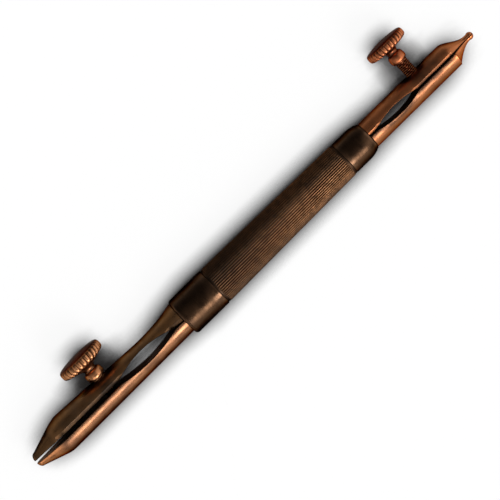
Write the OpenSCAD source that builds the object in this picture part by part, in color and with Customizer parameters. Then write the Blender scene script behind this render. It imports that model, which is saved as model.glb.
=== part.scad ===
// Watchmaker's jewelling tool: a knurled grip with a pair of spring jaws at each end.
// The opener's tips spread a jewel setting, the closer's ball tips press it shut again.
// X runs along the tool with the closer at +X, the thumbscrews point to +Y, Z is up.

/* [Grip] */
// Length of the grip from one collar mouth to the other
grip_l = 51.9; // [50:0.1:56]
// Diameter over the knurling beside the opener's collar
knurl_d_opener = 8.6; // [8.2:0.05:8.75]
// Diameter over the knurling beside the closer's collar
knurl_d_closer = 7.65; // [7.2:0.05:7.8]
// Number of straight ridges round the grip
knurl_ridges = 52; // [44:4:64]
// Depth of the grooves between the ridges
knurl_depth = 0.16; // [0.1:0.02:0.22]
// Plain band left at each end of the knurling
knurl_margin = 0.35; // [0.25:0.05:1]
// Chamfer where grip and collar meet, which leaves a fine groove line between them
joint_chamfer = 0.18; // [0.1:0.02:0.24]
// Depth of the blind socket at each end of the grip
socket_l = 8; // [6:0.5:12]
// Diameter of those sockets
socket_d = 4.6; // [4:0.1:5]

/* [Collars] */
// Outer diameter of the opener's collar
opener_collar_d = 8.75; // [8.6:0.05:9.2]
// Length of the opener's collar
opener_collar_l = 9; // [7:0.2:11]
// Outer diameter of the closer's collar
closer_collar_d = 7.6; // [7.4:0.05:8]
// Length of the closer's collar
closer_collar_l = 6.5; // [6:0.1:9]
// Radius of the rounding at the mouth of the opener's collar
opener_mouth_r = 0.8; // [0.5:0.05:1]
// Radius of the long rounding at the mouth of the closer's collar
closer_mouth_r = 5.5; // [5:0.1:6.5]
// How far the jaw roots stand inside a collar's mouth
root_depth = 1; // [0.6:0.1:1.5]
// Gap between a jaw root and its holder's face
root_gap = 0.12; // [0.1:0.02:0.2]

/* [Jaws] */
// Distance from a collar's mouth in to its jaw pins
pin_depth = 2.5; // [2.3:0.1:3]
// Length of a jaw tang behind the collar's mouth
tang_l = 5; // [4.5:0.1:5.4]
// Radial running clearance of a tang on its pin
pin_play = 0.03; // [0.02:0.01:0.05]
// Distance of a tang's inner face from the slit plane
tang_in = 0.15; // [0.12:0.01:0.2]
// Side play of the tangs in their slot
slot_play = 0.06; // [0.04:0.01:0.1]

/* [Opener jaws] */
// Length of the opener's jaws outside the collar
opener_l = 41.1; // [40:0.1:42]
// Radius of the upper jaw where it flares up to the collar
opener_flare_r = 3.95; // [3.8:0.05:4.1]
// Radius of the upper jaw at its waist
opener_waist_r = 2.9; // [2.8:0.05:3.1]
// Distance from the collar to that waist
opener_waist_u = 10.3; // [9:0.1:12]
// Radius of the upper jaw where its bevel starts
opener_shoulder_r = 3.8; // [3.6:0.05:3.9]
// Distance from the collar to the start of the upper bevel
opener_shoulder_u = 32.3; // [31:0.1:33]
// Radius of the plain jaw
opener_plain_r = 3.42; // [3.3:0.02:3.6]
// Distance from the collar to the corner where both jaws turn down to the tips
opener_bevel_u = 34.2; // [33.8:0.1:35]
// Fall of the upper bevel before that corner
opener_bevel_drop = 0.42; // [0.3:0.02:0.5]
// Radius of each tip where its rounded nose begins
opener_nose_r = 1.35; // [1.1:0.05:1.5]
// Length of that nose
opener_nose_l = 0.95; // [0.7:0.05:1.3]
// Half of the slit beside the thumbscrew with the tips closed
opener_slit = 0.25; // [0.2:0.01:0.3]
// Half of the slit where the tips begin with the tips closed
opener_slit_far = 0.2; // [0.14:0.01:0.3]
// Half of the slit just behind where the closed tips touch
opener_slit_tip = 0.12; // [0.08:0.01:0.2]
// Angle each jaw stands open with its screw fully in
opener_rest_deg = 0.43; // [0.3:0.01:0.5]
// Start of the hollow from the collar
opener_lens_u0 = 2.4; // [2:0.1:3]
// End of the hollow from the collar
opener_lens_u1 = 17.6; // [16:0.1:17.8]
// Depth of the hollow in the screw jaw
opener_lens_screw = 1.3; // [0.8:0.05:1.4]
// Depth of the hollow in the plain jaw
opener_lens_plain = 0.9; // [0.6:0.05:1.3]

/* [Closer jaws] */
// Length of the closer's jaws outside the collar
closer_l = 29.35; // [28.5:0.05:30.5]
// Radius of both jaws
closer_r = 3.05; // [2.9:0.05:3.1]
// Radius of both jaws inside the collar's mouth
closer_root_r = 2.86; // [2.8:0.02:2.9]
// Distance from the collar to the start of the screw jaw's rounding
closer_round_u = 22.3; // [21.5:0.1:23]
// Distance from the collar to the plain jaw's sharp corner
closer_corner_u = 23.7; // [23.3:0.1:24.1]
// Distance from the collar to the neck behind the ball
closer_neck_u = 27.8; // [27.5:0.1:28.1]
// Radius of that neck
closer_neck_r = 0.72; // [0.6:0.02:0.78]
// Radius of the ball at the tips
closer_ball_r = 0.82; // [0.78:0.02:0.9]
// Half of the slit at the collar
closer_slit = 0.17; // [0.12:0.01:0.2]
// Half of the slit at the ball
closer_slit_tip = 0.015; // [0.01:0.005:0.03]
// Start of the hollow from the collar
closer_lens_u0 = 2.1; // [1.5:0.1:3]
// End of the hollow from the collar
closer_lens_u1 = 13.6; // [12.5:0.1:14]
// Depth of the hollow in each jaw
closer_lens = 0.85; // [0.6:0.05:1]

/* [Thumbscrews] */
// Diameter of the opener's thumb head
opener_head_d = 10.4; // [9.6:0.1:11]
// Diameter of the opener's threaded stem
opener_stem_d = 3.1; // [2.8:0.1:3.2]
// Distance from the collar to the opener's screw
opener_screw_u = 20.3; // [20:0.1:21]
// Diameter of the closer's thumb head
closer_head_d = 9.2; // [8.6:0.1:9.8]
// Diameter of the closer's threaded stem
closer_stem_d = 2.7; // [2.4:0.1:2.8]
// Distance from the collar to the closer's screw
closer_screw_u = 15.1; // [14.9:0.1:15.5]
// Height of the closer's bead above its jaw with the tips closed
closer_backed_off = 3.1; // [2:0.1:3.5]
// Gap under the opener's bead with the screw fully in
bead_gap = 0.03; // [0.02:0.01:0.05]
// Radial clearance of a stem in its jaw
stem_play = 0.22; // [0.2:0.02:0.3]
// Number of ridges round a thumb head
head_ridges = 30; // [24:2:36]

/* [Hidden] */
$fn = 64;

// Colours
grip_colour = [0.13, 0.10, 0.08];
holder_colour = [0.45, 0.42, 0.38];
jaw_colour = [0.55, 0.36, 0.24];
plain_jaw_colour = [0.72, 0.47, 0.31];
screw_colour = [0.66, 0.36, 0.22];
stem_colour = [0.50, 0.30, 0.20];

// Steps of each curve, and a length that reaches past everything
curve_steps = 12;
reach = 60;

// Collars: bore, and how far the mouth's rounding turns down
opener_bore_d = 7.5;
opener_mouth_sweep = 60;
root_play = 0.12;
closer_bore_d = 2 * (closer_root_r + root_play);
closer_mouth_sweep = 28;

// Tangs and the pins through them
opener_pin_y = 1.7;
opener_pin_d = 1.3;
opener_tang_t = 3.2;
opener_tang_out = 3.0;
closer_pin_y = 1.45;
closer_pin_d = 1.1;
closer_tang_t = 2.8;
closer_tang_out = 2.45;
slot_end_gap = 0.3;
plug_end_gap = 0.5;
pin_end_gap = 0.03;

// Jaw roots inside the collar, and the step where they come out of it
opener_root_play = 0.15;
opener_root_r = opener_bore_d / 2 - opener_root_play;
opener_root_slit = 0.07;
root_step = 0.1;

// How steeply the opener's flare and the closer's two shoulders curve
opener_flare_power = 2.3;
closer_round_power = 0.92;
closer_sweep_power = 1.6;
closer_corner_drop = 0.2;

// Inner faces near the tips: they come together slowly, then close on each other
opener_relief_l = 3;
opener_touch_l = 0.6;
opener_touch_gap = 0.01;
closer_touch_l = 0.6;

// Seats of the thumb heads, and gaps under the ends of the stems
opener_seat_y = 3.46;
closer_seat_y = closer_r + closer_backed_off;
spot_margin = 0.15;
opener_end_gap = 0.03;
closer_end_gap = 0.01;
opener_stem_end = opener_end_gap - opener_slit - (opener_screw_u + pin_depth) * sin(opener_rest_deg);
closer_stem_end = closer_end_gap - closer_slit;
stem_point = 0.35;

// Thumb head, as shares of its radius: bead, waist, underside, rim and top
bead_r = 0.387;
bead_h = 0.217;
waist_r = 0.254;
waist_l = 0.033;
neck_r = 0.45;
underside_r = 0.87;
underside_h = 0.735;
rim_r = 0.848;
rim_h = 0.935;
rim_half_w = 0.152;
rim_half_h = 0.196;
rim_turn = 82;
rim_power = 0.75;
top_r = 0.74;
top_h = 1.148;
crown_h = 1.174;
flute_h = 0.652;

// Where the two heads differ: top of the bead, and where the underside begins
opener_bead_top = 0.4;
opener_neck_h = 0.6;
closer_bead_top = 0.467;
closer_neck_h = 0.674;

// Flutes of the thumb head: radius as a share of their pitch, and how far out they stand
flute_share = 0.275;
flute_out = 0.45;

// Tenons of the stems in the thumb heads, and the room over them as a share of the radius
opener_tenon_d = 1.7;
closer_tenon_d = 1.5;
tenon_h = 0.696;
tenon_room = 0.043;

// Places its children at the collar mouth of one end, x pointing out along the jaws
module at_opener() mirror([1, 0, 0]) translate([grip_l / 2, 0, 0]) children();
module at_closer() translate([grip_l / 2, 0, 0]) children();

// Turns a profile of [distance along x, radius] points about the x axis
module turned(profile) {
    rotate([0, 90, 0])
        rotate_extrude()
            polygon([for (p = profile) [p[1], p[0]]]);
}

// Arc of the given radius that leaves [x, r] level and turns down through sweep degrees
function rounded_edge(x, r, radius, sweep) =
    [for (i = [0:curve_steps]) let (a = sweep * i / curve_steps)
        [x + radius * sin(a), r - radius * (1 - cos(a))]];

// One straight groove along the tapered grip, from u0 to u1
module knurl_groove(u0, u1, r0, r1) {
    length = u1 - u0;
    tilt = atan((r1 - r0) / length);
    side = knurl_depth * sqrt(2);
    translate([(u0 + u1) / 2, 0, (r0 + r1) / 2])
        rotate([0, -tilt, 0])
            rotate([45, 0, 0])
                cube([length, side, side], center = true);
}

// Knurled grip, a tapered bar with chamfered ends and a blind socket in each
module grip_sleeve() {
    x0 = -grip_l / 2 + opener_collar_l;
    x1 = grip_l / 2 - closer_collar_l;
    r0 = knurl_d_opener / 2;
    r1 = knurl_d_closer / 2;
    color(grip_colour)
        difference() {
            turned([[x0, 0], [x0, r0 - joint_chamfer], [x0 + joint_chamfer, r0],
                    [x1 - joint_chamfer, r1], [x1, r1 - joint_chamfer], [x1, 0]]);
            for (i = [0:knurl_ridges - 1])
                rotate([360 * i / knurl_ridges, 0, 0])
                    knurl_groove(x0 + knurl_margin, x1 - knurl_margin, r0, r1);
            translate([x0 - 1, 0, 0]) rotate([0, 90, 0]) cylinder(d = socket_d, h = socket_l + 1);
            translate([x1 - socket_l, 0, 0]) rotate([0, 90, 0]) cylinder(d = socket_d, h = socket_l + 1);
        }
}

// Collar, a plain ferrule over the jaw holder with a rounded mouth
module collar(d, length, bore, radius, sweep) {
    color(grip_colour)
        turned(concat([[-length, bore / 2], [-length, d / 2 - joint_chamfer],
                       [joint_chamfer - length, d / 2]],
                      rounded_edge(-radius * sin(sweep), d / 2, radius, sweep),
                      [[0, bore / 2]]));
}

// Jaw holder, a stepped plug pressed into collar and grip, slotted for the two tangs
module jaw_holder(collar_l, bore, slot, pin_y, pin_d) {
    face = -(root_depth + root_gap);
    plug_end = plug_end_gap - collar_l - socket_l;
    color(holder_colour)
        difference() {
            turned([[plug_end, 0], [plug_end, socket_d / 2], [-collar_l, socket_d / 2],
                    [-collar_l, bore / 2], [face, bore / 2], [face, 0]]);
            translate([-tang_l - slot_end_gap, -bore, -slot / 2])
                cube([tang_l, 2 * bore, slot]);
            for (side = [-1, 1])
                translate([-pin_depth, side * pin_y, 0])
                    cylinder(d = pin_d, h = 2 * bore, center = true);
        }
}

// Jaw pins, one through the tang of each jaw
module jaw_pins(bore, pin_y, pin_d) {
    // The pin's outermost edge stays just inside the holder's round
    half = sqrt(pow(bore / 2, 2) - pow(pin_y + pin_d / 2, 2)) - pin_end_gap;
    color(holder_colour)
        for (side = [-1, 1])
            translate([-pin_depth, side * pin_y, 0])
                cylinder(d = pin_d, h = 2 * half, center = true);
}

// Arc of the hollow's inner face from [u0, y0] to [u1, y1], raised by depth half way
function hollow(u0, y0, u1, y1, depth) =
    [for (i = [1:curve_steps * 2 - 1]) let (t = i / (curve_steps * 2))
        [u0 + (u1 - u0) * t, y0 + (y1 - y0) * t + depth * 4 * t * (1 - t)]];

// Half-round jaw with a flat tang: outline turned about the tool's axis, kept above inner
module jaw_blank(outline, inner, tang_t, tang_out, pin_y, pin_d) {
    far = inner[len(inner) - 1][0] + 1;
    difference() {
        union() {
            intersection() {
                turned(outline);
                translate([0, 0, -reach / 2])
                    linear_extrude(height = reach)
                        polygon(concat([[-root_depth - 1, inner[0][1]]], inner,
                                       [[far, reach], [-root_depth - 1, reach]]));
            }
            translate([-tang_l, tang_in, -tang_t / 2])
                cube([tang_l - root_depth / 2, tang_out - tang_in, tang_t]);
        }
        translate([-pin_depth, pin_y, 0])
            cylinder(r = pin_d / 2 + pin_play, h = reach, center = true);
    }
}

// Clearance hole of a stem through a screw jaw
module stem_hole(screw_u, stem_d) {
    translate([screw_u, 0, 0]) rotate([-90, 0, 0])
        cylinder(r = stem_d / 2 + stem_play, h = reach);
}

// Flat cut into the round of a screw jaw where the bead of a driven-in screw lands
module spot_face(screw_u, seat_y, radius) {
    translate([screw_u, seat_y, 0]) rotate([-90, 0, 0])
        cylinder(r = radius + spot_margin, h = reach);
}

// Opener jaws, drawn with the tips closed and then swung out to where the screw holds them
function opener_nose() =
    [for (i = [0:curve_steps]) let (a = 90 * i / curve_steps)
        [opener_l - opener_nose_l * (1 - sin(a)), opener_nose_r * cos(a)]];

function opener_inner(depth) =
    concat([[-root_step, opener_root_slit], [opener_lens_u0, opener_root_slit]],
           hollow(opener_lens_u0, opener_root_slit, opener_lens_u1, opener_slit, depth),
           [[opener_lens_u1, opener_slit], [opener_screw_u, opener_slit],
            [opener_bevel_u, opener_slit_far], [opener_l - opener_relief_l, opener_slit_tip],
            [opener_l - opener_touch_l, opener_touch_gap], [opener_l + 1, opener_touch_gap]]);

// Upper outline: flare at the collar, waist, straight rise to the shoulder, two bevels, nose
function opener_screw_outline() =
    concat([[-root_depth, 0], [-root_depth, opener_root_r], [root_step, opener_root_r]],
           [for (i = [0:curve_steps]) let (t = i / curve_steps)
               [root_step + (opener_waist_u - root_step) * t,
                opener_waist_r + (opener_flare_r - opener_waist_r) * pow(1 - t, opener_flare_power)]],
           [[opener_shoulder_u, opener_shoulder_r],
            [opener_bevel_u, opener_shoulder_r - opener_bevel_drop]],
           opener_nose());

function opener_plain_outline() =
    concat([[-root_depth, 0], [-root_depth, opener_plain_r], [opener_bevel_u, opener_plain_r]],
           opener_nose());

module swing_open() {
    translate([-pin_depth, opener_pin_y, 0])
        rotate([0, 0, opener_rest_deg])
            translate([pin_depth, -opener_pin_y, 0])
                children();
}

module opener_screw_jaw() {
    color(jaw_colour)
        at_opener()
            difference() {
                swing_open()
                    jaw_blank(opener_screw_outline(), opener_inner(opener_lens_screw),
                              opener_tang_t, opener_tang_out, opener_pin_y, opener_pin_d);
                stem_hole(opener_screw_u, opener_stem_d);
                spot_face(opener_screw_u, opener_seat_y, bead_r * opener_head_d / 2);
            }
}

module opener_plain_jaw() {
    color(plain_jaw_colour)
        at_opener()
            mirror([0, 1, 0])
                swing_open()
                    jaw_blank(opener_plain_outline(), opener_inner(opener_lens_plain),
                              opener_tang_t, opener_tang_out, opener_pin_y, opener_pin_d);
}

// Closer jaws, closed on each other at rest, their tips two halves of one small ball
function closer_ball() =
    let (centre = closer_l - closer_ball_r, start = asin(closer_neck_r / closer_ball_r))
        [for (i = [0:curve_steps]) let (a = 180 - start - (180 - start) * i / curve_steps)
            [centre + closer_ball_r * cos(a), closer_ball_r * sin(a)]];

function closer_inner() =
    concat([[-root_step, closer_slit], [closer_lens_u0, closer_slit]],
           hollow(closer_lens_u0, closer_slit, closer_lens_u1, closer_slit, closer_lens),
           [[closer_lens_u1, closer_slit], [closer_corner_u, closer_slit],
            [closer_neck_u - closer_touch_l, closer_slit_tip], [closer_l + 1, closer_slit_tip]]);

function closer_root() =
    [[-root_depth, 0], [-root_depth, closer_root_r], [root_step, closer_root_r],
     [2 * root_step, closer_r]];

// Upper outline: rounds over like a shoulder, then sweeps in to the neck
function closer_screw_outline() =
    concat(closer_root(),
           [for (i = [0:curve_steps * 2]) let (t = i / (curve_steps * 2))
               [closer_round_u + (closer_neck_u - closer_round_u) * t,
                closer_neck_r + (closer_r - closer_neck_r)
                    * (0.5 + 0.5 * cos(180 * pow(t, closer_round_power)))]],
           closer_ball());

// Lower outline: straight to a sharp corner, then a hollow sweep to the neck
function closer_plain_outline() =
    concat(closer_root(),
           [for (i = [0:curve_steps]) let (t = i / curve_steps)
               [closer_corner_u + (closer_neck_u - closer_corner_u) * t,
                closer_neck_r + (closer_r - closer_corner_drop - closer_neck_r)
                    * pow(1 - t, closer_sweep_power)]],
           closer_ball());

module closer_screw_jaw() {
    color(jaw_colour)
        at_closer()
            difference() {
                jaw_blank(closer_screw_outline(), closer_inner(),
                          closer_tang_t, closer_tang_out, closer_pin_y, closer_pin_d);
                stem_hole(closer_screw_u, closer_stem_d);
            }
}

module closer_plain_jaw() {
    color(plain_jaw_colour)
        at_closer()
            mirror([0, 1, 0])
                jaw_blank(closer_plain_outline(), closer_inner(),
                          closer_tang_t, closer_tang_out, closer_pin_y, closer_pin_d);
}

// Quarter of an ellipse from angle a0 to a1 about [r, h], as [radius, height] points
function oval(r, h, half_w, half_h, a0, a1, steps) =
    [for (i = [0:steps]) let (a = a0 + (a1 - a0) * i / steps)
        [r + half_w * cos(a), h + half_h * sin(a)]];

// Neck of the thumb head, widening from the waist to the underside
function neck_curve(waist_h, neck_h) =
    [for (i = [0:curve_steps / 2]) let (a = 180 * i / curve_steps)
        [waist_r + (neck_r - waist_r) * (1 - cos(a)), waist_h + (neck_h - waist_h) * sin(a)]];

// Rim of the thumb head, fuller at its corners than an ellipse
function rim_curve() =
    [for (i = [0:curve_steps]) let (a = rim_turn * (2 * i / curve_steps - 1))
        [rim_r + rim_half_w * pow(cos(a), rim_power),
         rim_h + rim_half_h * sign(a) * pow(abs(sin(a)), rim_power)]];

// Thumb head from the bead's underside up, for a head of radius 1
function head_profile(bead_top, neck_h) =
    concat([[0, 0], [bead_r, 0]],
           oval(waist_r, bead_h, bead_r - waist_r, bead_top - bead_h, 0, 90, curve_steps / 2),
           neck_curve(bead_top + waist_l, neck_h),
           [[underside_r, underside_h]],
           rim_curve(),
           [[top_r, top_h], [0, crown_h]]);

// Thumb head: ridged disc, slim neck and bead, bored for the tenon of its stem
module thumb_head(screw_u, seat_y, d, tenon_d, bead_top, neck_h) {
    radius = d / 2;
    flute_r = flute_share * 2 * PI * radius / head_ridges;
    color(screw_colour)
        translate([screw_u, seat_y, 0])
            rotate([-90, 0, 0])
                difference() {
                    rotate_extrude() polygon(radius * head_profile(bead_top, neck_h));
                    for (i = [0:head_ridges - 1])
                        rotate([0, 0, 360 * i / head_ridges])
                            translate([radius + flute_r * flute_out, 0, flute_h * radius])
                                cylinder(r = flute_r, h = flute_h * radius, $fn = 24);
                    translate([0, 0, -1]) cylinder(d = tenon_d, h = 1 + (tenon_h + tenon_room) * radius);
                }
}

// Screw stem: threaded rod whose upper tenon is pressed into the thumb head
module screw_stem(screw_u, seat_y, end_y, d, tenon_d, head_d) {
    length = seat_y - end_y;
    top = length + tenon_h * head_d / 2;
    color(stem_colour)
        translate([screw_u, end_y, 0])
            rotate([-90, 0, 0])
                rotate_extrude()
                    polygon([[0, 0], [d / 2 - stem_point, 0], [d / 2, stem_point], [d / 2, length],
                             [tenon_d / 2, length], [tenon_d / 2, top], [0, top]]);
}

module opener_collar() {
    at_opener() collar(opener_collar_d, opener_collar_l, opener_bore_d, opener_mouth_r, opener_mouth_sweep);
}

module closer_collar() {
    at_closer() collar(closer_collar_d, closer_collar_l, closer_bore_d, closer_mouth_r, closer_mouth_sweep);
}

module opener_jaw_holder() {
    at_opener() jaw_holder(opener_collar_l, opener_bore_d, opener_tang_t + 2 * slot_play,
                           opener_pin_y, opener_pin_d);
}

module closer_jaw_holder() {
    at_closer() jaw_holder(closer_collar_l, closer_bore_d, closer_tang_t + 2 * slot_play,
                           closer_pin_y, closer_pin_d);
}

module opener_jaw_pins() {
    at_opener() jaw_pins(opener_bore_d, opener_pin_y, opener_pin_d);
}

module closer_jaw_pins() {
    at_closer() jaw_pins(closer_bore_d, closer_pin_y, closer_pin_d);
}

module opener_thumb_head() {
    at_opener() thumb_head(opener_screw_u, opener_seat_y + bead_gap, opener_head_d, opener_tenon_d,
                           opener_bead_top, opener_neck_h);
}

module closer_thumb_head() {
    at_closer() thumb_head(closer_screw_u, closer_seat_y, closer_head_d, closer_tenon_d,
                           closer_bead_top, closer_neck_h);
}

module opener_screw_stem() {
    at_opener() screw_stem(opener_screw_u, opener_seat_y + bead_gap, opener_stem_end,
                           opener_stem_d, opener_tenon_d, opener_head_d);
}

module closer_screw_stem() {
    at_closer() screw_stem(closer_screw_u, closer_seat_y, closer_stem_end,
                           closer_stem_d, closer_tenon_d, closer_head_d);
}

grip_sleeve();
opener_collar();
opener_jaw_holder();
opener_jaw_pins();
opener_screw_jaw();
opener_plain_jaw();
opener_thumb_head();
opener_screw_stem();
closer_collar();
closer_jaw_holder();
closer_jaw_pins();
closer_screw_jaw();
closer_plain_jaw();
closer_thumb_head();
closer_screw_stem();
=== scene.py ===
import math

import bmesh
import bpy
import numpy as np
from mathutils import Matrix, Vector


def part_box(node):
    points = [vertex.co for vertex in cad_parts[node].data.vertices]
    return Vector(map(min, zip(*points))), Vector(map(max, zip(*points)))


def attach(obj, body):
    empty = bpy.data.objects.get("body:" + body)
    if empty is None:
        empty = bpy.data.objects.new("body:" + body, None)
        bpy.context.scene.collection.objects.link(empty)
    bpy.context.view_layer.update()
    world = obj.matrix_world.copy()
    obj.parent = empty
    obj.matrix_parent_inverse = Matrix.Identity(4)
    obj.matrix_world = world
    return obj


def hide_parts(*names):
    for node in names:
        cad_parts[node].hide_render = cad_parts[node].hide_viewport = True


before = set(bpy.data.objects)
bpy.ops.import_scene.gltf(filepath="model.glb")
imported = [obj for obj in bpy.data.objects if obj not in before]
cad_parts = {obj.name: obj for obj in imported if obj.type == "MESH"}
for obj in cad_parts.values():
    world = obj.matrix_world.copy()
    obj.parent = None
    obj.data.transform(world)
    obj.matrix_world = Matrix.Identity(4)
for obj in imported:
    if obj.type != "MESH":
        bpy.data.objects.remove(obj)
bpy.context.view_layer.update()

MM = 0.001

# Places along the tool, from the parts in model.glb
OPENER_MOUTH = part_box("opener_collar")[0].x
CLOSER_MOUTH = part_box("closer_collar")[1].x
GRIP_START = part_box("grip_sleeve")[0].x
GRIP_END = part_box("grip_sleeve")[1].x

# Grip and collars
KNURL_R_OPENER = 4.3 * MM
KNURL_R_CLOSER = 3.825 * MM
KNURL_RIDGES = 52
KNURL_DEPTH = 0.16 * MM
KNURL_POWER = 0.75
KNURL_MARGIN = 0.35 * MM
KNURL_FADE = 0.35 * MM
JOINT_CHAMFER = 0.1 * MM
JOINT_ROUND = 0.05 * MM
SOCKET_R = 2.3 * MM
SOCKET_L = 8 * MM
LIP = 0.12 * MM

# Points and rings
CURVE_STEPS = 12
RIDGE_STEPS = 10
GRIP_RINGS = 36
FADE_RINGS = 5
COLLAR_STEPS = 160
FILLET_SHARE = 0.45
WELD = 0.0005 * MM

# Jaw roots, tangs and pins, the same at both ends
ROOT_DEPTH = 1 * MM
ROOT_STEP = 0.1 * MM
TANG_L = 5 * MM
TANG_IN = 0.15 * MM
TANG_TAPER = 0.5 * MM
PIN_DEPTH = 2.5 * MM
PIN_PLAY = 0.03 * MM
STEM_PLAY = 0.22 * MM
THREAD_PITCH = 0.4 * MM


class End:
    """One end of the tool and its sizes. u is the distance out of the collar's mouth along the jaws."""

    def __init__(self, name, mouth, out, **sizes):
        self.name = name
        self.mouth = mouth
        self.out = out
        for size, value in sizes.items():
            setattr(self, size, value)

    def x(self, u):
        return self.mouth + self.out * u


# bead_top and neck_h are shares of head_r
opener = End(
    "opener", OPENER_MOUTH, -1, length=41.1 * MM, root_r=3.6 * MM, rest_turn=math.radians(0.43),
    collar_r=4.375 * MM, collar_l=9 * MM, bore_r=3.75 * MM,
    mouth_round=0.8 * MM, mouth_sweep=math.radians(60),
    tang_t=3.2 * MM, tang_out=3 * MM, pin_y=1.7 * MM, pin_r=0.65 * MM,
    screw_u=20.3 * MM, head_r=5.2 * MM, stem_r=1.55 * MM, tenon_r=0.85 * MM,
    seat_y=3.46 * MM, bead_gap=0.03 * MM, bead_top=0.4, neck_h=0.6)

closer = End(
    "closer", CLOSER_MOUTH, 1, length=29.35 * MM, root_r=2.86 * MM, rest_turn=0,
    collar_r=3.8 * MM, collar_l=6.5 * MM, bore_r=2.98 * MM,
    mouth_round=5.5 * MM, mouth_sweep=math.radians(28),
    tang_t=2.8 * MM, tang_out=2.45 * MM, pin_y=1.45 * MM, pin_r=0.55 * MM,
    screw_u=15.1 * MM, head_r=4.6 * MM, stem_r=1.35 * MM, tenon_r=0.75 * MM,
    seat_y=6.15 * MM, bead_gap=0, bead_top=0.467, neck_h=0.674)


# Mesh helpers

def link(name, verts, faces):
    """A new object from vertices and faces, with its normals pointing out."""
    mesh = bpy.data.meshes.new(name)
    mesh.from_pydata([tuple(v) for v in verts], [], faces)
    bm = bmesh.new()
    bm.from_mesh(mesh)
    bmesh.ops.remove_doubles(bm, verts=bm.verts, dist=1e-8)
    bmesh.ops.recalc_face_normals(bm, faces=bm.faces)
    bm.to_mesh(mesh)
    bm.free()
    obj = bpy.data.objects.new(name, mesh)
    bpy.context.scene.collection.objects.link(obj)
    return obj


def loft(name, rings, loop=False):
    """A closed mesh through rings of equally many points. A loop joins the last ring to the first."""
    count, width = rings.shape[:2]
    verts = rings.reshape(-1, 3)
    faces = []
    for i in range(count if loop else count - 1):
        a, b = i * width, ((i + 1) % count) * width
        for j in range(width):
            k = (j + 1) % width
            faces.append((a + j, a + k, b + k, b + j))
    if not loop:
        faces.append(tuple(range(width)))
        faces.append(tuple(reversed(range((count - 1) * width, count * width))))
    return link(name, verts, faces)


def turned(name, profile, steps, axis="X", origin=(0, 0, 0), ripple=None, loop=False):
    """Turns a profile of (height, radius, ripple share) about an axis.
    ripple(angle, height) is taken off the radius."""
    angles = np.arange(steps) * 2 * math.pi / steps
    along, first, second = {"X": (0, 1, 2), "Y": (1, 2, 0), "Z": (2, 0, 1)}[axis]
    rings = np.zeros((len(profile), steps, 3))
    for i, (height, radius, share) in enumerate(profile):
        r = np.full(steps, radius)
        if ripple and share > 0:
            r = r - share * ripple(angles, height)
        rings[i, :, along] = height
        rings[i, :, first] = r * np.cos(angles)
        rings[i, :, second] = r * np.sin(angles)
    return loft(name, rings + np.array(origin), loop)


def arc(x, r, radius_x, radius_r, start, end, steps):
    """Points of an elliptic arc about (x, r), from angle start to end in radians."""
    angles = np.linspace(start, end, steps + 1)
    return [(x + radius_x * math.cos(a), r + radius_r * math.sin(a)) for a in angles]


def fillet(points, radius, steps=4):
    """Rounds each inner corner of a line of (u, r) points."""
    done = [points[0]]
    for before, corner, after in zip(points, points[1:], points[2:]):
        c = Vector(corner)
        back, ahead = Vector(before) - c, Vector(after) - c
        reach = min(radius, FILLET_SHARE * back.length, FILLET_SHARE * ahead.length)
        p, q = c + back.normalized() * reach, c + ahead.normalized() * reach
        for i in range(steps + 1):
            t = i / steps
            done.append(tuple(p * (1 - t) ** 2 + c * 2 * t * (1 - t) + q * t ** 2))
    done.append(points[-1])
    return done


def weld(mesh):
    """Joins points that a cut left next to each other, and drops the slivers between them."""
    bm = bmesh.new()
    bm.from_mesh(mesh)
    bmesh.ops.remove_doubles(bm, verts=bm.verts, dist=WELD)
    bmesh.ops.dissolve_degenerate(bm, edges=bm.edges, dist=WELD)
    bm.to_mesh(mesh)
    bm.free()


def cut(obj, *cutters):
    """Takes closed cutters out of obj and removes them."""
    for cutter in cutters:
        modifier = obj.modifiers.new("cut", "BOOLEAN")
        modifier.operation, modifier.solver, modifier.object = "DIFFERENCE", "EXACT", cutter
        bpy.context.view_layer.update()
        mesh = bpy.data.meshes.new_from_object(obj.evaluated_get(bpy.context.evaluated_depsgraph_get()))
        obj.modifiers.clear()
        obj.data = mesh
        bpy.data.objects.remove(cutter)
    weld(obj.data)


def smooth(obj, angle=28):
    """Smooth shading with sharp edges where faces meet at more than angle degrees."""
    obj.data.shade_smooth()
    obj.data.set_sharp_from_angle(angle=math.radians(angle))
    return obj


def mark(obj, name, amount):
    """Stores a value from 0 to 1 at each point, for wear and painted highlight or for grime and painted
    shade, for the materials to read.
    """
    values = [min(max(amount(v.co), 0.0), 1.0) for v in obj.data.vertices]
    attribute = obj.data.attributes.new(name, "FLOAT", "POINT")
    attribute.data.foreach_set("value", values)


def rise(value, low, high):
    """0 below low, 1 above high and a soft step between them."""
    t = min(max((value - low) / (high - low), 0.0), 1.0)
    return t * t * (3 - 2 * t)


def near(distance, width):
    """1 where distance is 0, falling softly to 0 at width."""
    t = min(abs(distance) / width, 1.0)
    return (1 - t * t) ** 2


# Grip and collars

# Painted shade on the sides of the grip and the collars
SHADE_AT_HEADS = 0.5
SHADE_OPPOSITE = 0.3


def handle_side_shade(p):
    """Painted shade: darkest on the thumbscrews' side and dark on the side away from them."""
    height = p.y / max(math.hypot(p.y, p.z), MM)
    return SHADE_AT_HEADS * rise(height, 0.1, 0.75) + SHADE_OPPOSITE * rise(-height, 0.5, 0.95)


def knurl(angles, height):
    """Rounded ridges with narrow valleys between them."""
    phase = np.abs(np.sin(angles * KNURL_RIDGES / 2))
    return KNURL_DEPTH * (1 - phase ** KNURL_POWER)


def grip_radius(x):
    t = (x - GRIP_START) / (GRIP_END - GRIP_START)
    return KNURL_R_OPENER + (KNURL_R_CLOSER - KNURL_R_OPENER) * t


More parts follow.
